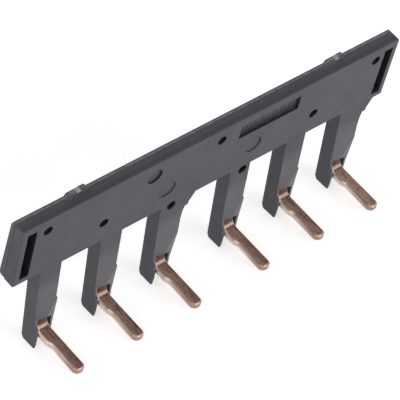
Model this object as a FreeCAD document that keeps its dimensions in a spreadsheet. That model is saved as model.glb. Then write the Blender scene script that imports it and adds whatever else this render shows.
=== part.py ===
import FreeCAD, Part
import math
import os
import re
import Sketcher

os.makedirs("parts", exist_ok=True)
doc = FreeCAD.newDocument("comb_busbar")

# Everything is drawn upright first. X runs along the comb, Y goes back from the front
# face of the plate, and Z is 0 at the lower edge of the plate, where the legs begin.
# At the end the whole comb is leaned forward until it stands on its legs and pins.

# Sizes in millimetres, each set by itself
SIZES = [
    ("pole_pitch", "14", "from one pole to the next"),
    ("unit_pitch", "45", "from one three-pole unit to the next"),
    ("plate_end", "8.5", "from the outermost pole to the end of the plate"),
    ("shell_depth", "2.5", "front moulding, from its face to the seam"),
    ("front_wall", "1", "front wall over the copper"),
    ("rim_bottom", "1", "wall under the hollow of the plate"),
    ("rim_top", "1.8", "wall over the hollow of the plate"),
    ("bar_thickness", "0.6", "copper strip in the plate"),
    ("bar_bottom", "3.6", "lower edge of the strips above the lower edge of the plate"),
    ("bar_height", "9", "height of the strips"),
    ("bar_end", "1.9", "strip beyond its last pole"),
    ("bar_room", "0.35", "clearance at the ends of the strips"),
    ("bar_headroom", "0.8", "clearance over the strips"),
    ("sheet_thickness", "0.2", "insulating sheet between two strips"),
    ("sheet_margin", "0.55", "how far a sheet overlaps the strips above and below"),
    ("sheet_room", "0.45", "clearance at the ends of a sheet"),
    ("cover_wall", "0.42", "rear cover behind the copper"),
    ("cover_bevel", "0.56", "how far the bevel along the top of the cover falls back"),
    ("cover_bevel_drop", "1.3", "height of that bevel"),
    ("cover_lean", "0.45", "how much further back the cover reaches at its foot"),
    ("cover_round", "0.8", "rounded lower back edge of the cover"),
    ("cover_corner", "0.3", "rounded upright back edges of the cover"),
    ("front_round", "0.3", "rounded front edges of the plate, at both ends and along the top"),
    ("crown_round", "0.4", "rounded short top edges at both ends of the plate"),
    ("seam_bevel", "0.08", "bevel of the front moulding along the seam"),
    ("seam_bevel_rear", "0.12", "bevel of the rear cover along the seam"),
    ("tab_in_left", "13.55", "middle of the left snap tab from the left end"),
    ("tab_in_right", "14.75", "middle of the right snap tab from the right end"),
    ("tab_length", "5", "snap tab along the comb"),
    ("tab_rise", "0.68", "lower part of the snap tab over the top edge"),
    ("tab_step", "0.14", "how much higher its upper part is"),
    ("tab_step_at", "2.2", "from the left end of the tab to the step between them"),
    ("tab_step_run", "0.85", "length of that step"),
    ("tab_grip", "0.5", "snap tab over the front moulding"),
    ("tab_lead", "0.5", "left end slope of the snap tab"),
    ("tab_tail", "0.7", "right end slope of the snap tab"),
    ("copper_thickness", "1.5", "finger in the leg, and the pin"),
    ("finger_left", "1.4", "finger, left of the pole"),
    ("finger_right", "1.4", "finger and pin, right of the pole"),
    ("finger_slope", "0.128", "forward lean of the finger, per millimetre down"),
    ("jog_rise", "0.8", "how far under the strip the finger begins to step forward"),
    ("jog_room", "0.1", "how far over the rim the finger has finished its step"),
    ("pin_left", "1", "pin, left of the pole"),
    ("pin_drop", "15.7", "top of the pin below the plate"),
    ("pin_reach", "12.75", "tip of the pin forward of the plate"),
    ("pin_base", "4.7", "end of the broad base of the pin, forward of the plate"),
    ("pin_neck", "0.9", "length over which the broad base narrows"),
    ("neck_round", "1.5", "rounding of the neck, seen from above"),
    ("bend_inner", "1.5", "inside radius of the bend"),
    ("tip_round", "1.05", "rounded corners of the pin tip, seen from above"),
    ("edge_bevel", "0.3", "bevelled edges of the pin"),
    ("side_play", "0.08", "clearance between the finger and the left wall of the leg"),
    ("side_gap", "0.65", "open gap between the finger and the right wall of the leg"),
    ("channel_play", "0.12", "clearance behind the finger in the leg"),
    ("leg_back_wall", "0.54", "wall behind the copper at the root of the leg"),
    ("leg_slope", "0.0843", "forward lean of the leg, per millimetre down"),
    ("leg_past_pin", "4.75", "leg below the top of the pin"),
    ("leg_rise", "0.2", "how much higher the front of the leg tip is than its back"),
    ("heel_height", "0.8", "bevelled heel of the leg tip, height"),
    ("heel_depth", "0.5", "bevelled heel of the leg tip, depth"),
    ("cheek_wall", "0.37", "left wall of the leg at its tip"),
    ("leg_taper_left", "0.32", "how much the left side comes in on the way down"),
    ("gap_wall", "0.45", "right wall of the leg beside the window"),
    ("leg_taper_right", "0.2", "how much the right side comes in down to the window"),
    ("shoulder_drop", "9.3", "from the plate down to the shoulder on the right side"),
    ("shoulder_in", "0.15", "how much the right side has come in at the shoulder"),
    ("shoulder_out", "0.35", "how far the shoulder stands out"),
    ("shoulder_lead", "0.3", "slope over the shoulder"),
    ("shoulder_flat", "0.7", "upright part of the shoulder"),
    ("haunch_reach", "3.55", "haunch of each third leg at the plate, beyond the leg"),
    ("haunch_mid", "2.15", "haunch at its lip, beyond the leg"),
    ("haunch_drop", "2", "haunch down to its lip"),
    ("haunch_lip", "0.55", "height of the upright lip"),
    ("haunch_nick", "0.8", "width of the nick under the lip"),
    ("haunch_nick_drop", "0.2", "height of the nick"),
    ("haunch_bulge", "0.25", "haunch below the nick, beyond the broad leg"),
    ("haunch_ease", "0.9", "from the nick down to that place"),
    ("haunch_foot", "2.1", "length of the last easing of the haunch"),
    ("haunch_step", "0.75", "extra width of each third leg"),
    ("window_left_rise", "2.5", "from the top of the pin up to the window, left side"),
    ("window_right_rise", "1.6", "from the top of the pin up to the window, right side"),
    ("cheek_rise", "2.3", "from the top of the pin up to where the left cheek comes forward"),
    ("cheek_bend_rise", "1.2", "from the top of the pin up to the first bend of the cheek"),
    ("cheek_bend", "0.15", "first bend of the cheek, forward of the leg"),
    ("cheek_brow_rise", "0.05", "from the top of the pin up to the brow of the cheek"),
    ("cheek_brow", "0.35", "brow of the cheek, behind its foremost part"),
    ("cheek_drop", "1.1", "from the top of the pin down to the foremost part"),
    ("cheek_flat", "2.4", "height of the foremost part"),
    ("cheek_reach", "2.25", "foremost part of the cheek, forward of the plate"),
    ("cheek_tip", "2.15", "left cheek at its tip, forward of the plate"),
    ("ramp_side", "2.15", "sideways run of the shallow ramp over the window"),
    ("ramp_fall", "4.4", "downward run of that ramp"),
    ("ramp_depth", "0.05", "slope of the ramp into the leg, per millimetre"),
    ("slot_edge", "1.2", "from the end of the plate to the end slot"),
    ("slot_width", "2.1", "width of the end slots"),
    ("slot_bottom", "1.2", "lower end of the end slots above the edge of the plate"),
    ("slot_top", "1.6", "upper end of the end slots below the top of the plate"),
    ("core_hole", "2.05", "diameter of the small blind holes"),
    ("core_depth", "0.75", "depth of the small blind holes"),
    ("corner_hole_left", "5.9", "small hole from the left end"),
    ("corner_hole_right", "5.3", "small hole from the right end"),
    ("top_hole_drop", "3.1", "upper small holes below the top"),
    ("flank_hole_left", "2.7", "small hole left of the second pole"),
    ("flank_hole_right", "3.1", "small hole right of the fifth pole"),
    ("flank_hole_height", "5.3", "height of those two holes"),
    ("middle_hole", "1.2", "small hole right of the middle"),
    ("root_hole_left", "0.4", "small hole right of the third pole, on the root of its leg"),
    ("root_hole_right", "0.9", "small hole right of the fourth pole, on the root of its leg"),
    ("root_hole_drop_left", "0.5", "how far the left one lies below the plate"),
    ("root_hole_drop_right", "1", "how far the right one lies below the plate"),
    ("mark_out", "1.9", "round moulding marks beyond the two middle poles"),
    ("mark_height", "5.5", "height of the round moulding marks"),
    ("mark_diameter", "3.9", "diameter of the round moulding marks"),
    ("mark_depth", "0.25", "depth of the round moulding marks"),
    ("gate_out", "6.2", "gate dimple left of the third pole"),
    ("gate_drop", "3.5", "gate dimple below the top"),
    ("gate_diameter", "3.5", "diameter of the gate dimple"),
    ("gate_depth", "0.5", "depth of the gate dimple"),
    ("panel_left", "5.7", "bare sunk panel, from the middle to its left end"),
    ("panel_length", "14.7", "length of the sunk panel"),
    ("panel_drop", "2", "upper edge of the sunk panel below the top"),
    ("panel_height", "3.5", "height of the sunk panel"),
    ("panel_depth", "0.7", "depth of the sunk panel"),
]

# Sizes that follow from those
DERIVED = [
    ("plate_length", "=unit_pitch + 2 * pole_pitch + 2 * plate_end"),
    ("plate_height", "=bar_bottom + bar_height + bar_headroom + rim_top"),
    ("hollow_end", "=unit_pitch / 2 + pole_pitch + bar_end + bar_room"),
    ("stack", "=front_wall + 3 * bar_thickness + 2 * sheet_thickness"),
    ("cover_back", "=stack + cover_wall"),
    ("finger_top", "=rim_bottom + jog_room"),
    ("channel_left", "=finger_left + side_play"),
    ("channel_right", "=finger_right + side_gap"),
    ("leg_left", "=channel_left + cheek_wall + leg_taper_left"),
    ("lower_right", "=channel_right + gap_wall"),
    ("leg_right", "=lower_right + leg_taper_right"),
    ("shoulder_side", "=leg_right - shoulder_in"),
    ("haunch_side", "=leg_right + haunch_step"),
    ("haunch_waist", "=haunch_drop + haunch_lip + haunch_nick_drop + haunch_ease"),
    ("leg_depth", "=front_wall + copper_thickness + channel_play + leg_back_wall"),
    ("leg_drop", "=pin_drop + leg_past_pin"),
    ("front_drop", "=leg_drop - leg_rise"),
    ("cheek_top", "=pin_drop - cheek_rise"),
]

sheet = doc.addObject("Spreadsheet::Sheet", "Sizes")
for row, (alias, value, note) in enumerate(SIZES, start=1):
    sheet.set("A%d" % row, value)
    sheet.setAlias("A%d" % row, alias)
    sheet.set("B%d" % row, note)
for row, (alias, formula) in enumerate(DERIVED, start=len(SIZES) + 1):
    sheet.set("A%d" % row, formula)
    sheet.setAlias("A%d" % row, alias)
    doc.recompute()

NAMES = [entry[0] for entry in SIZES + DERIVED]


def size(alias):
    return float(sheet.get(alias))


def s(text):
    # Puts the sheet's name before each word of a formula, all of which name sizes
    for word in re.findall("[a-z_]+", text):
        if word not in NAMES:
            raise RuntimeError(word + " is no size")
    return re.sub("([a-z_]+)", r"Sizes.\1", text)


def new_body(label):
    body = doc.addObject("PartDesign::Body", label)
    body.Label = label
    return body


def origin_item(body, role):
    return [item for item in body.Origin.OriginFeatures if item.Role == role][0]


def place_sketch(body, name, role, offset):
    sketch = body.newObject("Sketcher::SketchObject", name)
    sketch.AttachmentSupport = [(origin_item(body, role), "")]
    sketch.MapMode = "FlatFace"
    sketch.setExpression("AttachmentOffset.Base.z", s(offset))
    return sketch


def outlines(body, name, role, offset, loops):
    # Closed outlines whose corners are formulas of the named sizes
    sketch = place_sketch(body, name, role, offset)
    for loop in loops:
        count = len(loop)
        first = sketch.GeometryCount
        step = 2 * math.pi / count
        rough = [FreeCAD.Vector(math.cos(k * step), math.sin(k * step), 0) for k in range(count)]
        lines = [Part.LineSegment(rough[k], rough[(k + 1) % count]) for k in range(count)]
        sketch.addGeometry(lines)
        rules = []
        for k in range(count):
            rules.append(Sketcher.Constraint("Coincident", first + k, 2, first + (k + 1) % count, 1))
        for k in range(count):
            rules.append(Sketcher.Constraint("DistanceX", -1, 1, first + k, 1, rough[k].x))
            rules.append(Sketcher.Constraint("DistanceY", -1, 1, first + k, 1, rough[k].y))
        base = sketch.ConstraintCount + count
        sketch.addConstraint(rules)
        for k, (across, up) in enumerate(loop):
            sketch.setExpression("Constraints[%d]" % (base + 2 * k), s(across))
            sketch.setExpression("Constraints[%d]" % (base + 2 * k + 1), s(up))
    doc.recompute()
    return sketch


def circles(body, name, role, offset, diameter, centres):
    sketch = place_sketch(body, name, role, offset)
    for k, (across, up) in enumerate(centres):
        middle = FreeCAD.Vector(k + 1, 1, 0)
        sketch.addGeometry(Part.Circle(middle, FreeCAD.Vector(0, 0, 1), 0.4))
        base = sketch.ConstraintCount
        sketch.addConstraint([
            Sketcher.Constraint("DistanceX", -1, 1, k, 3, middle.x),
            Sketcher.Constraint("DistanceY", -1, 1, k, 3, middle.y),
            Sketcher.Constraint("Diameter", k, 0.8)])
        sketch.setExpression("Constraints[%d]" % base, s(across))
        sketch.setExpression("Constraints[%d]" % (base + 1), s(up))
        sketch.setExpression("Constraints[%d]" % (base + 2), s(diameter))
    doc.recompute()
    return sketch


def pad(body, name, sketch, length, backwards=False):
    feature = body.newObject("PartDesign::Pad", name)
    feature.Profile = sketch
    feature.setExpression("Length", s(length))
    feature.Reversed = backwards
    doc.recompute()
    return feature


def pocket(body, name, sketch, length, along_normal=False, both_ways=False, course=None):
    # A pocket cuts against the normal of its sketch, or along a slanting course
    before = body.Shape.Volume
    feature = body.newObject("PartDesign::Pocket", name)
    feature.Profile = sketch
    feature.Reversed = along_normal
    if both_ways:
        feature.SideType = "Symmetric"
    if course:
        feature.UseCustomVector = True
        feature.AlongSketchNormal = True
        for axis, formula in zip("xyz", course):
            feature.setExpression("Direction." + axis, s(formula))
    feature.setExpression("Length", s(length))
    doc.recompute()
    if body.Shape.Volume >= before - 1e-6:
        raise RuntimeError(name + " removes nothing")
    return feature


def repeat(body, name, features, pitch, count):
    pattern = body.newObject("PartDesign::LinearPattern", name)
    pattern.Originals = features
    pattern.Direction = (origin_item(body, "X_Axis"), [""])
    pattern.Occurrences = count
    pattern.setExpression("Length", s(pitch))
    body.Tip = pattern
    doc.recompute()
    return pattern


def dress(body, kind, name, formula, test):
    # Rounds or bevels the edges of the body that pass the test
    base = body.Tip
    edges = enumerate(body.Shape.Edges, start=1)
    names = ["Edge%d" % number for number, edge in edges if test([v.Point for v in edge.Vertexes])]
    if not names:
        raise RuntimeError(name + " finds no edge")
    feature = body.newObject("PartDesign::" + kind, name)
    feature.Base = (base, names)
    feature.setExpression("Radius" if kind == "Fillet" else "Size", s(formula))
    body.Tip = feature
    doc.recompute()
    return feature


def near(value, target, slack=0.02):
    return abs(value - target) < slack


def all_at(points, **place):
    return all(near(getattr(point, axis), value) for point in points for axis, value in place.items())


def upright(points):
    return len(points) == 2 and near(points[0].x, points[1].x) and near(points[0].y, points[1].y)


# Poles, counted from the left: three of the first unit, then three of the second
def pole(number):
    return "( %d * unit_pitch - unit_pitch / 2 + %d * pole_pitch )" % (number // 3, number % 3 - 1)


POLES = [pole(number) for number in range(6)]

# Front housing: the plate and its six hollow legs, one moulding
housing = new_body("front_housing")
end = "plate_length / 2"
plate_face = outlines(housing, "plate_face", "XZ_Plane", "0", [
    [("- " + end, "0"), (end, "0"), (end, "plate_height"), ("- " + end, "plate_height")]])
pad(housing, "plate", plate_face, "shell_depth", backwards=True)


def crown(points):
    return all_at(points, z=size("plate_height")) and near(points[0].x, points[-1].x) and \
        near(abs(points[0].x), size("plate_length") / 2)


dress(housing, "Fillet", "plate_crown", "crown_round", crown)
dress(housing, "Fillet", "plate_front_edges", "front_round",
      lambda points: all_at(points, y=0) and not all_at(points, z=0))
dress(housing, "Chamfer", "seam_edge", "seam_bevel",
      lambda points: all_at(points, y=size("shell_depth")) and not all_at(points, z=0))


def leg_outline(number):
    x = POLES[number] + " "
    loop = [(x + "- leg_left", "0"), (x + "- leg_left + leg_taper_left", "- leg_drop"),
            (x + "+ lower_right", "- leg_drop"), (x + "+ lower_right", "- pin_drop")]
    if number % 3 == 2:
        loop += [
            (x + "+ haunch_side", "- shoulder_drop - shoulder_lead"),
            (x + "+ haunch_side", "- haunch_waist - haunch_foot"),
            (x + "+ haunch_side + haunch_bulge", "- haunch_waist"),
            (x + "+ leg_right + haunch_mid - haunch_nick", "- haunch_drop - haunch_lip - haunch_nick_drop"),
            (x + "+ leg_right + haunch_mid", "- haunch_drop - haunch_lip"),
            (x + "+ leg_right + haunch_mid", "- haunch_drop"),
            (x + "+ leg_right + haunch_reach", "0")]
    else:
        loop += [
            (x + "+ shoulder_side + shoulder_out", "- shoulder_drop - shoulder_lead - shoulder_flat"),
            (x + "+ shoulder_side + shoulder_out", "- shoulder_drop - shoulder_lead"),
            (x + "+ shoulder_side", "- shoulder_drop"),
            (x + "+ leg_right", "0")]
    return loop


legs_face = outlines(housing, "legs_face", "XZ_Plane", "cheek_reach + 1", [leg_outline(n) for n in range(6)])
pad(housing, "legs", legs_face, "cheek_reach + 1 + leg_depth", backwards=True)

# The sides of all legs are trimmed at once, along the comb: front, tip, heel and back
heel_back = "leg_depth - leg_slope * ( leg_drop - heel_height )"
trim = outlines(housing, "leg_side", "YZ_Plane", "0", [
    [("- cheek_reach - 2", "0"), ("0", "0"), ("- leg_slope * front_drop", "- front_drop"),
     ("leg_depth - leg_slope * leg_drop - heel_depth", "- leg_drop"),
     (heel_back, "- leg_drop + heel_height"), ("leg_depth", "0"),
     ("leg_depth * 2", "0"), ("leg_depth * 2", "- leg_drop - 1"), ("- cheek_reach - 2", "- leg_drop - 1")]])
pocket(housing, "leg_sides", trim, "plate_length * 2", both_ways=True)

# Shallow ramp that comes in from the shoulder of each leg and widens down to the tip
ramp_loops = []
for x in POLES:
    corner = x + " + shoulder_side + shoulder_out"
    at_front = "- leg_slope * ( shoulder_drop + shoulder_lead )"
    ramp_loops.append([
        (corner, at_front), (corner + " + ramp_side * 2", at_front + " + ramp_depth * ramp_side * 2"),
        (corner + " + ramp_side * 2", at_front + " - cheek_reach"), (corner, at_front + " - cheek_reach")])
ramps_face = outlines(housing, "ramps_face", "XY_Plane", "- shoulder_drop - shoulder_lead", ramp_loops)
pocket(housing, "ramps", ramps_face, "( leg_drop - shoulder_drop ) * 1.2",
       course=("- ramp_side", "- leg_slope * ramp_fall", "- ramp_fall"))

# Left cheek of each window: it stands forward beside the copper and ends in a blunt blade
cheek_loops = []
for x in POLES:
    for_side = x + " - leg_left + leg_taper_left * %s / leg_drop"
    cheek_loops.append([
        (for_side % "cheek_top", "- cheek_top"), (for_side % "front_drop", "- front_drop"),
        (x + " - channel_left", "- front_drop"), (x + " - channel_left", "- cheek_top")])
cheeks_face = outlines(housing, "cheeks_face", "XZ_Plane", "0", cheek_loops)
pad(housing, "cheeks", cheeks_face, "cheek_reach")
cheek_side = outlines(housing, "cheek_side", "YZ_Plane", "0", [
    [("- cheek_reach - 2", "- cheek_top + 1"), ("- leg_slope * ( cheek_top - 1 )", "- cheek_top + 1"),
     ("- leg_slope * cheek_top", "- cheek_top"),
     ("- leg_slope * ( pin_drop - cheek_bend_rise ) - cheek_bend", "- pin_drop + cheek_bend_rise"),
     ("- cheek_reach + cheek_brow", "- pin_drop + cheek_brow_rise"),
     ("- cheek_reach", "- pin_drop - cheek_drop"), ("- cheek_reach", "- pin_drop - cheek_drop - cheek_flat"),
     ("- cheek_tip", "- front_drop"), ("- cheek_tip", "- leg_drop - 1"), ("- cheek_reach - 2", "- leg_drop - 1")]])
pocket(housing, "cheek_sides", cheek_side, "plate_length * 2", both_ways=True)

# Hollow of the plate, open to the rear
hollow_loop = [("- hollow_end", "rim_bottom"), ("hollow_end", "rim_bottom"),
               ("hollow_end", "plate_height - rim_top"), ("- hollow_end", "plate_height - rim_top")]
hollow = outlines(housing, "hollow_face", "XZ_Plane", "- front_wall", [hollow_loop])
pocket(housing, "hollow", hollow, "shell_depth")

# Hollow of each leg, which leans a little more than the leg, then the window at its foot
channel_foot = "- finger_slope * ( leg_drop + 1 + finger_top )"
channel_back = "front_wall + copper_thickness + channel_play"
for unit in range(2):
    x = POLES[3 * unit]
    channel = outlines(housing, "channel_side_%d" % (unit + 1), "YZ_Plane", x + " - channel_left", [
        [("front_wall", "finger_top + jog_room"), ("front_wall", "finger_top"),
         ("front_wall " + channel_foot, "- leg_drop - 1"), (channel_back + channel_foot, "- leg_drop - 1"),
         (channel_back, "finger_top"), (channel_back, "finger_top + jog_room")]])
    cut = pocket(housing, "channel_%d" % (unit + 1), channel, "channel_left + channel_right", along_normal=True)
    repeat(housing, "channels_%d" % (unit + 1), [cut], "pole_pitch * 2", 3)
window_loops = []
for x in POLES:
    window_loops.append([
        (x + " - channel_left", "- pin_drop + window_left_rise"), (x + " - channel_left", "- leg_drop - 1"),
        (x + " + channel_right", "- leg_drop - 1"), (x + " + channel_right", "- pin_drop + window_right_rise")])
windows = outlines(housing, "windows_face", "XZ_Plane", "cheek_reach + 1", window_loops)
window_back = "front_wall - finger_slope * ( pin_drop - window_left_rise )"
pocket(housing, "windows", windows, "cheek_reach + 1 + " + window_back)

# Slots at both ends
slot_loops = []
for side in ("-1", "1"):
    outer = side + " * ( plate_length / 2 - slot_edge )"
    inner = side + " * ( plate_length / 2 - slot_edge - slot_width )"
    slot_loops.append([(inner, "slot_bottom"), (outer, "slot_bottom"),
                       (outer, "plate_height - slot_top"), (inner, "plate_height - slot_top")])
slots = outlines(housing, "slots_face", "XZ_Plane", "0", slot_loops)
pocket(housing, "slots", slots, "shell_depth * 2")

# Small blind holes: five on the plate and two on the roots of the middle legs
holes = circles(housing, "core_holes_face", "XZ_Plane", "0", "core_hole", [
    ("- plate_length / 2 + corner_hole_left", "plate_height - top_hole_drop"),
    ("plate_length / 2 - corner_hole_right", "plate_height - top_hole_drop"),
    (POLES[1] + " - flank_hole_left", "flank_hole_height"),
    (POLES[4] + " + flank_hole_right", "flank_hole_height"),
    ("middle_hole", "plate_height - top_hole_drop")])
pocket(housing, "core_holes", holes, "core_depth")
root_face = "leg_slope * ( root_hole_drop_right + core_hole )"
root_holes = circles(housing, "root_holes_face", "XZ_Plane", root_face, "core_hole", [
    (POLES[2] + " + root_hole_left", "- root_hole_drop_left"),
    (POLES[3] + " + root_hole_right", "- root_hole_drop_right")])
pocket(housing, "root_holes", root_holes, "core_depth + leg_slope * core_hole")

# Round moulding marks, gate dimple and the bare sunk panel
marks = circles(housing, "marks_face", "XZ_Plane", "0", "mark_diameter", [
    (POLES[2] + " - mark_out", "mark_height"), (POLES[3] + " + mark_out", "mark_height")])
pocket(housing, "marks", marks, "mark_depth")
gate = circles(housing, "gate_face", "XZ_Plane", "0", "gate_diameter", [
    (POLES[2] + " - gate_out", "plate_height - gate_drop")])
pocket(housing, "gate", gate, "gate_depth")
panel_top = "plate_height - panel_drop"
panel = outlines(housing, "panel_face", "XZ_Plane", "0", [
    [("panel_left", panel_top + " - panel_height"), ("panel_left + panel_length", panel_top + " - panel_height"),
     ("panel_left + panel_length", panel_top), ("panel_left", panel_top)]])
pocket(housing, "panel", panel, "panel_depth")

# Rear cover: a long plate that thickens downwards, with two snap tabs on its top edge
cover = new_body("rear_cover")
cover_side = outlines(cover, "cover_side", "YZ_Plane", "- plate_length / 2", [
    [("shell_depth", "0"), ("shell_depth", "plate_height"), ("cover_back - cover_bevel", "plate_height"),
     ("cover_back", "plate_height - cover_bevel_drop"), ("cover_back + cover_lean", "0")]])
pad(cover, "cover_plate", cover_side, "plate_length")
dress(cover, "Fillet", "cover_crown", "crown_round", crown)
foot_y = size("cover_back") + size("cover_lean")
dress(cover, "Fillet", "cover_foot", "cover_round", lambda points: all_at(points, y=foot_y, z=0))


def back_upright(points):
    return len(points) == 2 and near(points[0].x, points[1].x) and min(p.y for p in points) > size("cover_back") - 0.05


dress(cover, "Fillet", "cover_corners", "cover_corner", back_upright)
dress(cover, "Chamfer", "cover_seam_edge", "seam_bevel_rear",
      lambda points: all_at(points, y=size("shell_depth")) and not all_at(points, z=0))
tab_loops = []
for left in ("- plate_length / 2 + tab_in_left - tab_length / 2",
             "plate_length / 2 - tab_in_right - tab_length / 2"):
    tab_loops.append([
        (left, "plate_height"), (left + " + tab_lead", "plate_height + tab_rise"),
        (left + " + tab_step_at", "plate_height + tab_rise"),
        (left + " + tab_step_at + tab_step_run", "plate_height + tab_rise + tab_step"),
        (left + " + tab_length - tab_tail", "plate_height + tab_rise + tab_step"),
        (left + " + tab_length", "plate_height")])
tabs_face = outlines(cover, "tabs_face", "XZ_Plane", "- shell_depth + tab_grip", tab_loops)
pad(cover, "tabs", tabs_face, "cover_back - cover_bevel - shell_depth + tab_grip", backwards=True)
cover_hollow = outlines(cover, "cover_hollow_face", "XZ_Plane", "- shell_depth", [hollow_loop])
pocket(cover, "cover_hollow", cover_hollow, "stack - shell_depth")


# Phase bars: a strip in the plate, and two fingers that run down two legs and bend forward
def phase_bar(number):
    tag = "_%d" % (number + 1)
    bar = new_body("busbar_phase" + tag)
    layer = "( front_wall + %d * ( bar_thickness + sheet_thickness ) )" % number
    first = POLES[number]
    last = POLES[number + 3]
    strip_face = outlines(bar, "strip_face" + tag, "XZ_Plane", "- " + layer, [
        [(first + " - bar_end", "bar_bottom"), (last + " + bar_end", "bar_bottom"),
         (last + " + bar_end", "bar_bottom + bar_height"), (first + " - bar_end", "bar_bottom + bar_height")]])
    pad(bar, "strip" + tag, strip_face, "bar_thickness", backwards=True)

    run = "finger_slope * ( finger_top + pin_drop )"
    run_below = "finger_slope * ( finger_top + pin_drop + copper_thickness )"
    finger_side = outlines(bar, "finger_side" + tag, "YZ_Plane", first + " - finger_left", [
        [(layer, "bar_bottom + bar_thickness"), (layer, "bar_bottom - jog_rise"), ("front_wall", "finger_top"),
         ("front_wall - " + run, "- pin_drop"), ("- pin_reach", "- pin_drop"),
         ("- pin_reach", "- pin_drop - copper_thickness"),
         ("front_wall + copper_thickness - " + run_below, "- pin_drop - copper_thickness"),
         ("front_wall + copper_thickness", "finger_top"), (layer + " + bar_thickness", "bar_bottom - jog_rise"),
         (layer + " + bar_thickness", "bar_bottom + bar_thickness")]])
    finger = pad(bar, "finger" + tag, finger_side, "finger_left + finger_right")
    slim = outlines(bar, "slim_face" + tag, "XY_Plane", "- pin_drop + 1", [
        [(first + " - finger_left - 1", "- pin_base"), (first + " - finger_left", "- pin_base"),
         (first + " - pin_left", "- pin_base - pin_neck"), (first + " - pin_left", "- pin_reach - 1"),
         (first + " - finger_left - 1", "- pin_reach - 1")]])
    slim_cut = pocket(bar, "slim" + tag, slim, "copper_thickness + 2")
    repeat(bar, "fingers" + tag, [finger, slim_cut], "unit_pitch", 2)

    top = -size("pin_drop")
    low = top - size("copper_thickness")
    inner = size("front_wall") - size("finger_slope") * (size("finger_top") - top)
    outer = size("front_wall") + size("copper_thickness") - size("finger_slope") * (size("finger_top") - low)
    tip = -size("pin_reach")
    neck = (-size("pin_base"), -size("pin_base") - size("pin_neck"))
    dress(bar, "Fillet", "neck_corners" + tag, "neck_round",
          lambda points: upright(points) and any(all_at(points, y=place) for place in neck))
    dress(bar, "Fillet", "bend_inside" + tag, "bend_inner", lambda points: all_at(points, y=inner, z=top))
    dress(bar, "Fillet", "bend_outside" + tag, "bend_inner + copper_thickness",
          lambda points: all_at(points, y=outer, z=low))
    dress(bar, "Fillet", "tip_corners" + tag, "tip_round", lambda points: upright(points) and all_at(points, y=tip))
    dress(bar, "Chamfer", "bevelled_edges" + tag, "edge_bevel",
          lambda points: all_at(points, y=tip, z=top) or all_at(points, y=tip, z=low))
    return bar


bars = [phase_bar(number) for number in range(3)]


# Insulating sheets between the strips
def insulating_sheet(number, label):
    piece = new_body(label)
    front = "( front_wall + %d * bar_thickness + %d * sheet_thickness )" % (number + 1, number)
    across = "( hollow_end - sheet_room )"
    face = outlines(piece, "sheet_face_%d" % (number + 1), "XZ_Plane", "- " + front, [
        [("- " + across, "bar_bottom - sheet_margin"), (across, "bar_bottom - sheet_margin"),
         (across, "bar_bottom + bar_height + sheet_margin"),
         ("- " + across, "bar_bottom + bar_height + sheet_margin")]])
    pad(piece, "sheet_%d" % (number + 1), face, "sheet_thickness", backwards=True)
    return piece


sheets = [insulating_sheet(0, "insulating_sheet_front"), insulating_sheet(1, "insulating_sheet_rear")]

bodies = [housing, cover] + bars + sheets
doc.recompute()


# The comb comes to rest on its leg tips and pin tips, leaning forward by this angle
def lowest(points, angle):
    sine = math.sin(angle)
    cosine = math.cos(angle)
    return min(p.y * sine + p.z * cosine for p in points)


leg_points = housing.Shape.tessellate(0.02)[0]
pin_points = [p for bar in bars for p in bar.Shape.tessellate(0.02)[0]]
low_angle = 0.0
high_angle = math.radians(60)
for step in range(50):
    middle = (low_angle + high_angle) / 2
    if lowest(leg_points, middle) < lowest(pin_points, middle):
        low_angle = middle
    else:
        high_angle = middle
rest_angle = (low_angle + high_angle) / 2
turn = FreeCAD.Rotation(FreeCAD.Vector(1, 0, 0), math.degrees(rest_angle))

boxes = []
for body in bodies:
    shape = body.Shape.copy()
    shape.Placement = FreeCAD.Placement(FreeCAD.Vector(0, 0, 0), turn)
    boxes.append(shape.optimalBoundingBox())
middle_y = (min(box.YMin for box in boxes) + max(box.YMax for box in boxes)) / 2
lift = -min(box.ZMin for box in boxes)
for body in bodies:
    body.Placement = FreeCAD.Placement(FreeCAD.Vector(0, -middle_y, lift), turn)
doc.recompute()

for item in doc.Objects:
    if "Invalid" in item.State or "Error" in item.State:
        raise RuntimeError(item.Name + " did not build")
for body in bodies:
    if not body.Shape.isValid() or len(body.Shape.Solids) != 1:
        raise RuntimeError(body.Label + " is not one valid solid")
    body.Shape.exportStep("parts/%s.step" % body.Label)
    box = body.Shape.BoundBox
    print(body.Label, round(body.Shape.Volume, 2), "mm3",
          [round(v, 2) for v in (box.XMin, box.YMin, box.ZMin, box.XMax, box.YMax, box.ZMax)])
print("lean", round(math.degrees(rest_angle), 6), "degrees, moved by", round(-middle_y, 6), round(lift, 6))
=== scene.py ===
import bpy
import math
from mathutils import Euler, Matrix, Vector

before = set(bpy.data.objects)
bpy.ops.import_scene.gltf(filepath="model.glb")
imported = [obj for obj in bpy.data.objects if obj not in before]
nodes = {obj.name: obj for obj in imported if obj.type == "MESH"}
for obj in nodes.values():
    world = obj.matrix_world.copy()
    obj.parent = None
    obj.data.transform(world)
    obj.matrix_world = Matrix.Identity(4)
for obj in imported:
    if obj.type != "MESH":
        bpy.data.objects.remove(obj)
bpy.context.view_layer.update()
scene = bpy.context.scene

# The comb leans forward by LEAN degrees and was moved by MOVED millimetres, as in the part's source.
# Materials work in the upright frame of the plate: X along it, Y back from its face, Z up, in millimetres.
LEAN = 16.494891
MOVED = (0.0, 0.330774, 20.027062)
MILLIMETRES = 1000.0

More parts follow.
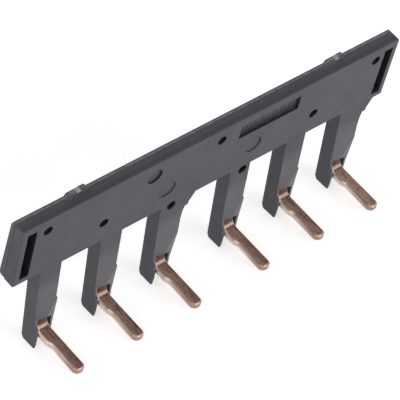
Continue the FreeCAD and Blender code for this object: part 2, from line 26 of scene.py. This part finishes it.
# Sizes of the part that the paint follows, named as in its source
POLE_PITCH = 14.0
UNIT_PITCH = 45.0
PLATE_LENGTH = 90.0
PLATE_HEIGHT = 15.2
SHELL_DEPTH = 2.5
FRONT_WALL = 1.0
PIN_DROP = 15.7
PIN_REACH = 12.75
TAB_IN_LEFT = 13.55
TAB_IN_RIGHT = 14.75
TAB_LENGTH = 5.0
TAB_STEP_AT = 2.2
SLOT_EDGE = 1.2
SLOT_WIDTH = 2.1
SLOT_BOTTOM = 1.2
SLOT_TOP = 1.6
CORE_HOLE = 2.05
CORNER_HOLE_LEFT = 5.9
CORNER_HOLE_RIGHT = 5.3
TOP_HOLE_DROP = 3.1
FLANK_HOLE_LEFT = 2.7
FLANK_HOLE_RIGHT = 3.1
FLANK_HOLE_HEIGHT = 5.3
MIDDLE_HOLE = 1.2
ROOT_HOLE_LEFT = 0.4
ROOT_HOLE_RIGHT = 0.9
ROOT_HOLE_DROP_LEFT = 0.5
ROOT_HOLE_DROP_RIGHT = 1.0
PANEL_LEFT = 5.7
PANEL_LENGTH = 14.7
PANEL_DROP = 2.0
PANEL_HEIGHT = 3.5
PANEL_DEPTH = 0.7

# Places that follow from those
END = PLATE_LENGTH / 2
POLES = [unit * UNIT_PITCH - UNIT_PITCH / 2 + pole * POLE_PITCH for unit in (0, 1) for pole in (-1, 0, 1)]
HOLES = [
    (-END + CORNER_HOLE_LEFT, PLATE_HEIGHT - TOP_HOLE_DROP),
    (END - CORNER_HOLE_RIGHT, PLATE_HEIGHT - TOP_HOLE_DROP),
    (POLES[1] - FLANK_HOLE_LEFT, FLANK_HOLE_HEIGHT),
    (POLES[4] + FLANK_HOLE_RIGHT, FLANK_HOLE_HEIGHT),
    (MIDDLE_HOLE, PLATE_HEIGHT - TOP_HOLE_DROP),
    (POLES[2] + ROOT_HOLE_LEFT, -ROOT_HOLE_DROP_LEFT),
    (POLES[3] + ROOT_HOLE_RIGHT, -ROOT_HOLE_DROP_RIGHT),
]
SLOT_HEIGHT = PLATE_HEIGHT - SLOT_BOTTOM - SLOT_TOP
SLOT_MIDDLE = (END - SLOT_EDGE - SLOT_WIDTH / 2, SLOT_BOTTOM + SLOT_HEIGHT / 2)
TAB_LEFT_ENDS = (-END + TAB_IN_LEFT - TAB_LENGTH / 2, END - TAB_IN_RIGHT - TAB_LENGTH / 2)
PANEL_MIDDLE = (PANEL_LEFT + PANEL_LENGTH / 2, PLATE_HEIGHT - PANEL_DROP - PANEL_HEIGHT / 2)

# Places of the paint itself, in millimetres. A pair says where a paint begins and where it is full.
SOFT = 0.05
BELOW_FACE = (0.02, 0.2)
PANEL_FLOOR = (PANEL_DEPTH - 0.2, PANEL_DEPTH - 0.12)
LEG_FRONT_BELOW = (-2.0, -7.0)
RAMP_BELOW = (-9.0, -9.3)
PALE_STEP_MIDDLE = TAB_STEP_AT + 0.42
SPECKLED_MIDDLE = 0.9
TIP_BEYOND = (-PIN_REACH + 7.0, -PIN_REACH + 0.8)
ABOVE_PIN = (-PIN_DROP + 0.01, -PIN_DROP + 0.06)
LEFT_OF_PIN = (0.3, -0.9)
RIGHT_OF_PIN = (0.5, 1.25)
RIB_PITCH = 0.95
RIB_WANDER = 0.8
PLASTIC_ROUND, PLASTIC_PALE_EDGE = 0.14, 0.16
COPPER_ROUND, COPPER_HIGHLIGHT_EDGE = 0.2, 0.22

# Noises: scale, detail, roughness and distortion. A stretch multiplies the place along X, Y and Z.
CLOUD = (0.11, 4.0, 0.5)
PATCH = (0.8, 3.0, 0.6)
GRAIN = (7.0, 3.0, 0.65)
SCUFF, SCUFF_STRETCH = (1.6, 4.0, 0.7), (0.25, 2.0, 2.6)
DUST = (3.4, 2.0, 0.6)
UNEVEN = (1.9, 3.0, 0.6)
LINES, LINES_STRETCH = (1.7, 5.0, 0.65), (4.6, 0.22, 4.6)
BLOTCH, BLOTCH_STRETCH = (1.1, 4.0, 0.65, 0.3), (1.0, 0.45, 1.0)
GRIT = (2.4, 3.0, 0.6)
FIBRE, FIBRE_STRETCH = (1.8, 4.0, 0.6), (0.4, 1.0, 1.6)
MOTTLE = (40.0, 2.0, 0.5)

# Colours of the mouldings. A share is how much of a colour shows where it is strongest.
HOUSING = ((0.072, 0.0705, 0.083), (0.098, 0.096, 0.110))
COVER = ((0.080, 0.084, 0.094), (0.110, 0.114, 0.126))
CLOUD_SHARE = 0.45
PATCH_SHARE = 0.25
SCUFF_COLOUR, SCUFF_SHARE = (0.20, 0.20, 0.215), 0.22
PALE_TAB_STEP = (0.42, 0.42, 0.41)
SPECKLE, SPECKLE_SHARE = (0.36, 0.36, 0.40), 0.75
TOP_BAND, TOP_BAND_SHARES = (0.010, 0.024, 0.036), (0.3, 0.08)
# Painted light: the leg fronts and the ramp beside each window are painted paler
LEG_FRONT_LIGHT, LEG_FRONT_LIGHT_SHARE = (0.175, 0.173, 0.186), 0.42
RAMP_LIGHT, RAMP_LIGHT_SHARE = (0.19, 0.19, 0.205), 0.8
RECESS, RECESS_SHARE = (0.003, 0.003, 0.005), 0.98
GROOVE, GROOVE_SHARES = (0.012, 0.012, 0.017), (0.95, 0.1)
# Painted shade on the lower part of the panel floor
LOW_FLOOR_SHADE, LOW_FLOOR_SHADE_SHARE = (0.020, 0.020, 0.026), 0.55
# Painted shade on the walls of the sunk panel, gate dimple and round marks
SUNK_WALL_SHADE, SUNK_WALL_SHADE_SHARE = (0.010, 0.010, 0.014), 0.85
# Painted highlight along the seam on top
SEAM_HIGHLIGHT = (0.26, 0.27, 0.28)
JOINT, JOINT_SHARE = (0.014, 0.016, 0.02), 0.75
PALE_PLASTIC_EDGE = (0.21, 0.22, 0.235)
PLASTIC_SPECULAR = 0.35

# Colours of the copper and the sheets. The second colour of a pair is that of the marks in it.
SIDES = ((0.47, 0.32, 0.26), (0.84, 0.69, 0.60))
TIP, TIP_SHARE = (0.31, 0.20, 0.155), 0.82
BROWN = ((0.165, 0.074, 0.058), (0.70, 0.42, 0.335))
RED_GRIT, RED_GRIT_SHARE = (0.66, 0.31, 0.21), 0.65
DARK_GRIT, DARK_GRIT_SHARE = (0.085, 0.045, 0.038), 0.5
PALE_BLOTCH, PALE_BLOTCH_SHARE = (0.62, 0.40, 0.31), 0.35
# Painted highlight along the left and painted shade along the right of each pin's top
LEFT_HIGHLIGHT, LEFT_HIGHLIGHT_SHARE = (0.66, 0.47, 0.395), 0.6
RIGHT_SHADE, RIGHT_SHADE_SHARE = (0.07, 0.046, 0.044), 0.62
# Painted light at the bend: a shadow line, a browner rest of the bend beside the painted highlight, and
# shade in the window
BEND_SHADOW_LINE, BEND_SHADOW_LINE_SHARE = (0.07, 0.036, 0.032), 0.75
BEND, BEND_SHARES = (0.235, 0.14, 0.112), (0.5, 0.85)
WINDOW_SHADE, WINDOW_SHADE_SHARE = ((0.05, 0.027, 0.025), (0.17, 0.10, 0.09)), 0.93
# Painted highlight along the copper edges
COPPER_EDGE_HIGHLIGHT = (0.88, 0.66, 0.56)
COPPER_METALLIC = 0.9
SHEET = ((0.66, 0.65, 0.60), (0.80, 0.79, 0.74))

# Floor, light and camera, in metres, watts and degrees
FLOOR_SIZE = 6.0
FLOOR_Z = -0.00002
FLOOR_LIFT = 0.56
PAPER = ((0.86, 0.86, 0.86), (0.88, 0.88, 0.88))
WHITE = (1.0, 1.0, 1.0)
CEILING_FROM, CEILING_LEVEL = (0.3, 0.85), 0.35
DIFFUSE_LEVEL = 0.62
LAMPS = [
    # name, place, target, width, height, power
    ("front_softbox", (0.2, -0.8, 0.30), (0, 0, 0.015), 0.7, 0.5, 3.6),
    ("left_softbox", (-0.7, -0.2, 0.45), (0, 0, 0.01), 0.6, 0.5, 1.2),
    ("rear_softbox", (0.35, 0.8, 0.15), (0, 0, 0.015), 0.6, 0.3, 2.0),
]
CAMERA_LENS = 260.4
CAMERA_PLACE = (-0.279032, -0.319967, 0.340115)
CAMERA_TURN = (52.721976, 0.205733, -41.091549)
CAMERA_CLIP = (0.01, 20)


class Tree:
    """Short ways to make and join shader nodes, for a material or the world."""

    def __init__(self, owner, output="ShaderNodeOutputMaterial"):
        owner.use_nodes = True
        self.owner = owner
        self.nodes = owner.node_tree.nodes
        self.links = owner.node_tree.links
        self.nodes.clear()
        self.output = self.nodes.new(output)

    def put(self, socket, value):
        """Join another node's output to the socket, or set a constant on it."""
        if value is None:
            return
        if isinstance(value, bpy.types.NodeSocket):
            self.links.new(value, socket)
        elif isinstance(value, tuple) and len(value) == 3 and socket.type == "RGBA":
            socket.default_value = (*value, 1.0)
        else:
            socket.default_value = value

    def math(self, kind, *values):
        node = self.nodes.new("ShaderNodeMath")
        node.operation = kind
        for socket, value in zip(node.inputs, values):
            self.put(socket, value)
        return node.outputs[0]

    def times(self, product, *others):
        for other in others:
            product = self.math("MULTIPLY", product, other)
        return product

    def absolute(self, value):
        return self.math("ABSOLUTE", value)

    def vector_math(self, kind, a, b):
        node = self.nodes.new("ShaderNodeVectorMath")
        node.operation = kind
        self.put(node.inputs[0], a)
        self.put(node.inputs[1], b)
        return node.outputs

    def split(self, vector):
        node = self.nodes.new("ShaderNodeSeparateXYZ")
        self.put(node.inputs[0], vector)
        return node.outputs

    def mix(self, share, a, b):
        """a where share is 0, b where it is 1."""
        node = self.nodes.new("ShaderNodeMix")
        node.data_type = "RGBA"
        self.put(node.inputs[0], share)
        self.put(node.inputs[6], a)
        self.put(node.inputs[7], b)
        return node.outputs[2]

    def step(self, value, low, high, out_low=0.0, out_high=1.0, kind="SMOOTHSTEP"):
        """out_low where value is at low, out_high where it is at high."""
        node = self.nodes.new("ShaderNodeMapRange")
        node.interpolation_type = kind
        for socket, amount in zip(node.inputs, (value, low, high, out_low, out_high)):
            self.put(socket, amount)
        return node.outputs[0]

    def near(self, value, centre, half, soft):
        """1 within half of centre, 0 beyond half plus soft."""
        away = self.absolute(self.math("SUBTRACT", value, centre))
        return self.step(away, half, half + soft, 1.0, 0.0)

    def noise(self, vector, scale, detail, roughness, distortion=0.0):
        node = self.nodes.new("ShaderNodeTexNoise")
        self.put(node.inputs["Vector"], vector)
        node.inputs["Scale"].default_value = scale
        node.inputs["Detail"].default_value = detail
        node.inputs["Roughness"].default_value = roughness
        node.inputs["Distortion"].default_value = distortion
        return node.outputs["Fac"]

    def coordinates(self, kind):
        return self.nodes.new("ShaderNodeTexCoord").outputs[kind]


class PlateTree(Tree):
    """A material that knows place and normal in the upright frame of the plate."""

    def __init__(self, name):
        super().__init__(bpy.data.materials.new(name))
        scaled = self.vector_math("MULTIPLY", self.coordinates("Object"), (MILLIMETRES,) * 3)[0]
        self.place = self.turn_back(self.vector_math("SUBTRACT", scaled, MOVED)[0])
        self.x, self.y, self.z = self.split(self.place)
        normal = self.nodes.new("ShaderNodeNewGeometry").outputs["Normal"]
        self.nx, self.ny, self.nz = self.split(self.turn_back(normal))

    def turn_back(self, vector):
        """The vector without the lean of the comb."""
        node = self.nodes.new("ShaderNodeVectorRotate")
        node.rotation_type = "X_AXIS"
        self.put(node.inputs["Vector"], vector)
        node.inputs["Angle"].default_value = -math.radians(LEAN)
        return node.outputs[0]

    def stretched(self, factors):
        return self.vector_math("MULTIPLY", self.place, factors)[0]

    def rounded(self, radius):
        """Normal with the edges rounded by radius."""
        node = self.nodes.new("ShaderNodeBevel")
        node.samples = 6
        node.inputs["Radius"].default_value = radius / MILLIMETRES
        return node.outputs[0]

    def edge(self, radius):
        """Nearly 1 on sharp edges, 0 on flats."""
        plain = self.nodes.new("ShaderNodeNewGeometry").outputs["True Normal"]
        likeness = self.vector_math("DOT_PRODUCT", self.rounded(radius), plain)["Value"]
        return self.step(self.math("SUBTRACT", 1.0, likeness), 0.02, 0.25)

    def bump(self, height, strength, distance, normal=None):
        node = self.nodes.new("ShaderNodeBump")
        node.inputs["Strength"].default_value = strength
        node.inputs["Distance"].default_value = distance / MILLIMETRES
        self.put(node.inputs["Height"], height)
        self.put(node.inputs["Normal"], normal)
        return node.outputs[0]

    def surface(self, color, roughness, normal, metallic=0.0, specular=0.5):
        """Finish the material. The specular level is a constant, as the export drops a linked one."""
        node = self.nodes.new("ShaderNodeBsdfPrincipled")
        self.put(node.inputs["Base Color"], color)
        self.put(node.inputs["Roughness"], roughness)
        self.put(node.inputs["Normal"], normal)
        node.inputs["Metallic"].default_value = metallic
        node.inputs["Specular IOR Level"].default_value = specular
        self.links.new(node.outputs[0], self.output.inputs["Surface"])
        return self.owner


# Places on the front housing: each gives 1 inside and 0 outside

def faces_front(t):
    return t.step(t.ny, -0.9, -0.95)


def recess(t):
    """The end slots and the small holes, which hardly any light reaches."""
    below_face = t.step(t.y, *BELOW_FACE)
    slot = t.near(t.absolute(t.x), SLOT_MIDDLE[0], SLOT_WIDTH / 2 + 0.02, SOFT)
    slot = t.times(slot, t.near(t.z, SLOT_MIDDLE[1], SLOT_HEIGHT / 2 + 0.02, SOFT))
    shade = t.times(slot, below_face)
    # The paint of the holes must not reach the backs of the legs
    in_wall = t.times(below_face, t.step(t.y, FRONT_WALL + 0.25, FRONT_WALL + 0.35, 1.0, 0.0))
    for place in HOLES:
        across = t.math("POWER", t.math("SUBTRACT", t.x, place[0]), 2.0)
        upward = t.math("POWER", t.math("SUBTRACT", t.z, place[1]), 2.0)
        away = t.math("SQRT", t.math("ADD", across, upward))
        hole = t.step(away, CORE_HOLE / 2 + 0.025, CORE_HOLE / 2 + 0.085, 1.0, 0.0)
        shade = t.math("MAXIMUM", shade, t.times(hole, in_wall))
    return shade


def panel_floor(t):
    """The floor of the sunk panel."""
    across = t.near(t.x, PANEL_MIDDLE[0], PANEL_LENGTH / 2 + SOFT, SOFT)
    panel = t.times(across, t.near(t.z, PANEL_MIDDLE[1], PANEL_HEIGHT / 2 + SOFT, SOFT))
    return t.times(panel, t.times(t.step(t.y, *PANEL_FLOOR), faces_front(t)))


def shaded_sunk_walls(t):
    """The walls of the panel, the gate dimple and the round marks, but not the rounded outline: where
    shade is painted.
    """
    inside = t.times(t.step(t.absolute(t.x), END - 0.8, END - 0.7, 1.0, 0.0), t.step(t.z, 0.6, 0.7))
    inside = t.times(inside, t.step(t.z, PLATE_HEIGHT - 0.6, PLATE_HEIGHT - 0.5, 1.0, 0.0))
    return t.times(inside, t.step(t.y, 0.02, 0.07), t.step(t.ny, -0.9, -0.5))


# Paint of the mouldings: each lays one kind of mark over the colour

def paint_pale_tab_steps(t, color, grain):
    """The step of each snap tab is painted pale, unevenly."""
    for left in TAB_LEFT_ENDS:
        step = t.near(t.x, left + PALE_STEP_MIDDLE, 0.30, 0.25)
        on_tab = t.times(step, t.step(t.z, PLATE_HEIGHT + 0.45, PLATE_HEIGHT + 0.6))
        color = t.mix(t.times(on_tab, t.step(grain, 0.3, 0.55, 0.35, 1.0)), color, PALE_TAB_STEP)
    return color


def paint_speckles(t, color):
    """Speckles on the foot of each snap tab, and on the edge of the plate beside it."""
    dust = t.noise(t.place, *DUST)
    speckled = t.times(t.step(dust, 0.54, 0.62), t.step(t.nz, 0.3, 0.6), t.step(t.y, 1.5, 1.9))
    for left in TAB_LEFT_ENDS:
        beside = t.near(t.x, left + SPECKLED_MIDDLE, 1.0, 0.9)
        color = t.mix(t.times(speckled, beside, SPECKLE_SHARE), color, SPECKLE)
    return color


def paint_top_band(t, color):
    """The front half of the top edge is a darker band."""
    top = t.times(t.step(t.nz, 0.75, 0.95), t.step(t.z, PLATE_HEIGHT - 0.6, PLATE_HEIGHT - 0.4))
    return t.mix(t.times(top, t.step(t.y, 1.05, 1.45, *TOP_BAND_SHARES)), color, TOP_BAND)


def paint_leg_light(t, color):
    """Painted light: the fronts of the legs are painted a little paler, most of all the ramp right of the
    window.
    """
    front = faces_front(t)
    color = t.mix(t.times(front, t.step(t.z, *LEG_FRONT_BELOW, 0.0, LEG_FRONT_LIGHT_SHARE)), color, LEG_FRONT_LIGHT)
    slants_right = t.times(t.step(t.z, *RAMP_BELOW), t.step(t.nx, 0.02, 0.04))
    return t.mix(t.times(slants_right, front, RAMP_LIGHT_SHARE), color, RAMP_LIGHT)


def paint_panel(t, color):
    """The floor of the bare panel has fine upright ribs of the mould, dull and a little uneven; its lower
    part is painted darker as shade.
    """
    on_floor = panel_floor(t)
    uneven = t.noise(t.place, *UNEVEN)
    along = t.math("ADD", t.x, t.times(uneven, RIB_WANDER))
    ribs = t.math("SINE", t.times(along, 2 * math.pi / RIB_PITCH))
    ribs = t.math("ADD", ribs, t.step(uneven, 0.35, 0.65, -0.5, 0.5))
    color = t.mix(t.times(on_floor, t.step(ribs, -0.5, 0.5, *GROOVE_SHARES)), color, GROOVE)
    # Painted shade from the panel's lower wall over the lower part of its floor
    low = t.step(t.z, PANEL_MIDDLE[1] - 0.1, PANEL_MIDDLE[1] - 1.0, 0.0, LOW_FLOOR_SHADE_SHARE)
    return t.mix(t.times(on_floor, low), color, LOW_FLOOR_SHADE)


def paint_seam(t, color, patch):
    """A painted highlight on the lip at the seam along the top, and a thin dark line on the ends."""
    seam = t.near(t.y, SHELL_DEPTH + 0.08, 0.16, 0.1)
    seam_highlight = t.times(seam, t.step(patch, 0.35, 0.65, 0.25, 0.6), t.step(t.nz, 0.3, 0.6))
    color = t.mix(seam_highlight, color, SEAM_HIGHLIGHT)
    joint = t.times(t.near(t.y, SHELL_DEPTH, SOFT, 0.07), t.step(t.absolute(t.nx), 0.8, 0.95))
    joint = t.times(joint, t.step(t.absolute(t.x), END - 0.5, END - 0.3), JOINT_SHARE)
    return t.mix(joint, color, JOINT)


def plastic(name, greys, cover):
    """Grey plastic of the front housing, or of the rear cover."""
    t = PlateTree(name)
    cloud = t.noise(t.place, *CLOUD)
    patch = t.noise(t.place, *PATCH)
    grain = t.noise(t.place, *GRAIN)
    scuff = t.noise(t.stretched(SCUFF_STRETCH), *SCUFF)
    color = t.mix(t.times(t.step(cloud, 0.35, 0.65), CLOUD_SHARE), *greys)
    color = t.mix(t.times(t.step(patch, 0.5, 0.75), PATCH_SHARE), color, greys[1])
    color = t.mix(t.times(t.step(scuff, 0.62, 0.72), SCUFF_SHARE), color, SCUFF_COLOUR)
    roughness = t.step(patch, 0.2, 0.8, 0.52, 0.68)
    if cover:
        color = paint_pale_tab_steps(t, color, grain)
    color = paint_speckles(t, color)
    if not cover:
        color = paint_top_band(t, color)
        color = paint_leg_light(t, color)
        shade = recess(t)
        color = t.mix(t.times(shade, RECESS_SHARE), color, RECESS)
        roughness = t.math("MAXIMUM", roughness, shade)
        color = paint_panel(t, color)
        # Painted shade on the walls of the panel, the gate dimple and the round marks
        color = t.mix(t.times(shaded_sunk_walls(t), SUNK_WALL_SHADE_SHARE), color, SUNK_WALL_SHADE)
    color = paint_seam(t, color, patch)
    # Edges are painted paler in patches
    pale_edges = t.times(t.edge(PLASTIC_PALE_EDGE), t.step(patch, 0.35, 0.65, 0.05, 0.45))
    color = t.mix(pale_edges, color, PALE_PLASTIC_EDGE)
    height = t.math("ADD", t.times(grain, 0.6), t.times(patch, 0.8))
    normal = t.bump(height, 0.16, 0.05, t.rounded(PLASTIC_ROUND))
    return t.surface(color, roughness, normal, specular=PLASTIC_SPECULAR)


# Copper and sheets

def tarnished_brown(t, lines, grit, blotch):
    """Brown of the broad faces, with a painted highlight along the left and painted shade along the right
    edge of a pin.
    """
    brown = t.mix(t.step(lines, 0.40, 0.60), *BROWN)
    brown = t.mix(t.step(grit, 0.50, 0.62, 0.0, RED_GRIT_SHARE), brown, RED_GRIT)
    brown = t.mix(t.step(grit, 0.46, 0.34, 0.0, DARK_GRIT_SHARE), brown, DARK_GRIT)
    brown = t.mix(t.step(blotch, 0.50, 0.66, 0.0, PALE_BLOTCH_SHARE), brown, PALE_BLOTCH)
    from_unit = t.math("SUBTRACT", t.x, t.times(t.math("SIGN", t.x), UNIT_PITCH / 2))
    from_pole = t.math("WRAP", from_unit, POLE_PITCH / 2, -POLE_PITCH / 2)
    brown = t.mix(t.step(from_pole, *LEFT_OF_PIN, 0.0, LEFT_HIGHLIGHT_SHARE), brown, LEFT_HIGHLIGHT)
    return t.mix(t.step(from_pole, *RIGHT_OF_PIN, 0.0, RIGHT_SHADE_SHARE), brown, RIGHT_SHADE)


def copper(name):
    """Copper with pale sides, brown tarnished broad faces, a painted highlight across the bend and painted
    shade in the window.
    """
    t = PlateTree(name)
    # Fine marks run lengthwise along the pins and down the fingers
    lines = t.noise(t.stretched(LINES_STRETCH), *LINES)
    blotch = t.noise(t.stretched(BLOTCH_STRETCH), *BLOTCH)
    grit = t.noise(t.place, *GRIT)
    # The narrow sides are pale, and browner towards the tip
    toward_tip = t.step(t.y, *TIP_BEYOND)
    color = t.mix(t.step(lines, 0.36, 0.66), *SIDES)
    color = t.mix(t.times(toward_tip, TIP_SHARE), color, TIP)
    # The broad faces that lie up are tarnished
    tarnish = t.times(t.step(t.nz, 0.78, 0.88), t.step(blotch, 0.38, 0.62, 0.97, 0.8))
    color = t.mix(tarnish, color, tarnished_brown(t, lines, grit, blotch))
    # Above the pin come a painted shadow line, a narrow pale band across the bend as a painted highlight,
    # and the face of the finger in its window, painted dark as shade
    broad = t.step(t.absolute(t.nx), 0.2, 0.4, 1.0, 0.0)
    above = t.times(broad, t.step(t.z, *ABOVE_PIN))
    color = t.mix(t.times(t.near(t.ny, -0.34, 0.1, 0.1), above, BEND_SHADOW_LINE_SHARE), color, BEND_SHADOW_LINE)
    bend = t.times(t.step(t.ny, -0.3, -0.5), above)
    color = t.mix(t.times(bend, t.step(t.ny, -0.52, -0.62, *BEND_SHARES)), color, BEND)
    frontal = t.mix(t.step(lines, 0.36, 0.66), *WINDOW_SHADE)
    color = t.mix(t.times(above, t.step(t.ny, -0.70, -0.86, 0.0, WINDOW_SHADE_SHARE)), color, frontal)
    # Painted highlight along the edges, fading towards the tip
    pale_edges = t.times(t.edge(COPPER_HIGHLIGHT_EDGE), t.step(toward_tip, 0.0, 1.0, 0.3, 0.05))
    color = t.mix(pale_edges, color, COPPER_EDGE_HIGHLIGHT)
    roughness = t.step(lines, 0.3, 0.7, 0.46, 0.36)
    height = t.math("ADD", lines, t.times(grit, 0.6))
    normal = t.bump(height, 0.6, 0.06, t.rounded(COPPER_ROUND))
    return t.surface(color, roughness, normal, metallic=COPPER_METALLIC)


def sheet(name):
    """Pale insulating sheet with a faint fibre."""
    t = PlateTree(name)
    fibre = t.noise(t.stretched(FIBRE_STRETCH), *FIBRE)
    color = t.mix(t.step(fibre, 0.3, 0.7), *SHEET)
    return t.surface(color, t.step(fibre, 0.2, 0.8, 0.6, 0.75), t.bump(fibre, 0.15, 0.03))


mouldings = {
    "front_housing": plastic("housing_plastic", HOUSING, False),
    "rear_cover": plastic("cover_plastic", COVER, True),
}
bare_copper = copper("copper")
pale_sheet = sheet("insulating_sheet")
for name, node in nodes.items():
    finish = mouldings.get(name, bare_copper if name.startswith("busbar") else pale_sheet)
    node.data.materials.clear()
    node.data.materials.append(finish)

# The floor takes shadows, and is lifted to white where it is seen directly or mirrored
bpy.ops.mesh.primitive_plane_add(size=FLOOR_SIZE, location=(0, 0, FLOOR_Z))
floor = bpy.context.object
floor.name = "floor"
t = Tree(bpy.data.materials.new("floor_paint"))
paper = t.nodes.new("ShaderNodeBsdfDiffuse")
t.put(paper.inputs["Color"], t.mix(t.noise(t.coordinates("Object"), *MOTTLE), *PAPER))
bright = t.nodes.new("ShaderNodeEmission")
t.put(bright.inputs["Color"], WHITE)
ray = t.nodes.new("ShaderNodeLightPath").outputs
seen = t.math("MAXIMUM", ray["Is Camera Ray"], ray["Is Glossy Ray"])
seen = t.math("MAXIMUM", seen, ray["Is Transmission Ray"])
t.put(bright.inputs["Strength"], t.times(seen, FLOOR_LIFT))
lift = t.nodes.new("ShaderNodeAddShader")
t.links.new(paper.outputs[0], lift.inputs[0])
t.links.new(bright.outputs[0], lift.inputs[1])
t.links.new(lift.outputs[0], t.output.inputs["Surface"])
floor.data.materials.append(t.owner)

# A white studio whose ceiling is dimmer than its walls, and which is dimmer as a source of diffuse light
scene.world = bpy.data.worlds.new("studio")
t = Tree(scene.world, "ShaderNodeOutputWorld")
sky = t.nodes.new("ShaderNodeBackground")
upward = t.split(t.coordinates("Generated"))[2]
t.put(sky.inputs["Color"], t.step(upward, *CEILING_FROM, 1.0, CEILING_LEVEL))
diffuse = t.nodes.new("ShaderNodeLightPath").outputs["Is Diffuse Ray"]
t.put(sky.inputs["Strength"], t.step(diffuse, 0.0, 1.0, 1.0, DIFFUSE_LEVEL, "LINEAR"))
t.links.new(sky.outputs[0], t.output.inputs["Surface"])

for name, place, target, width, height, power in LAMPS:
    data = bpy.data.lights.new(name, "AREA")
    data.shape = "RECTANGLE"
    data.size = width
    data.size_y = height
    data.energy = power
    lamp = bpy.data.objects.new(name, data)
    scene.collection.objects.link(lamp)
    lamp.location = place
    lamp.rotation_euler = (Vector(target) - Vector(place)).to_track_quat("-Z", "Y").to_euler()

camera_data = bpy.data.cameras.new("camera")
camera_data.lens = CAMERA_LENS
camera_data.clip_start, camera_data.clip_end = CAMERA_CLIP
camera = bpy.data.objects.new("camera", camera_data)
scene.collection.objects.link(camera)
camera.location = CAMERA_PLACE
camera.rotation_euler = Euler([math.radians(angle) for angle in CAMERA_TURN], "XYZ")
scene.camera = camera

scene.view_settings.view_transform = "Standard"
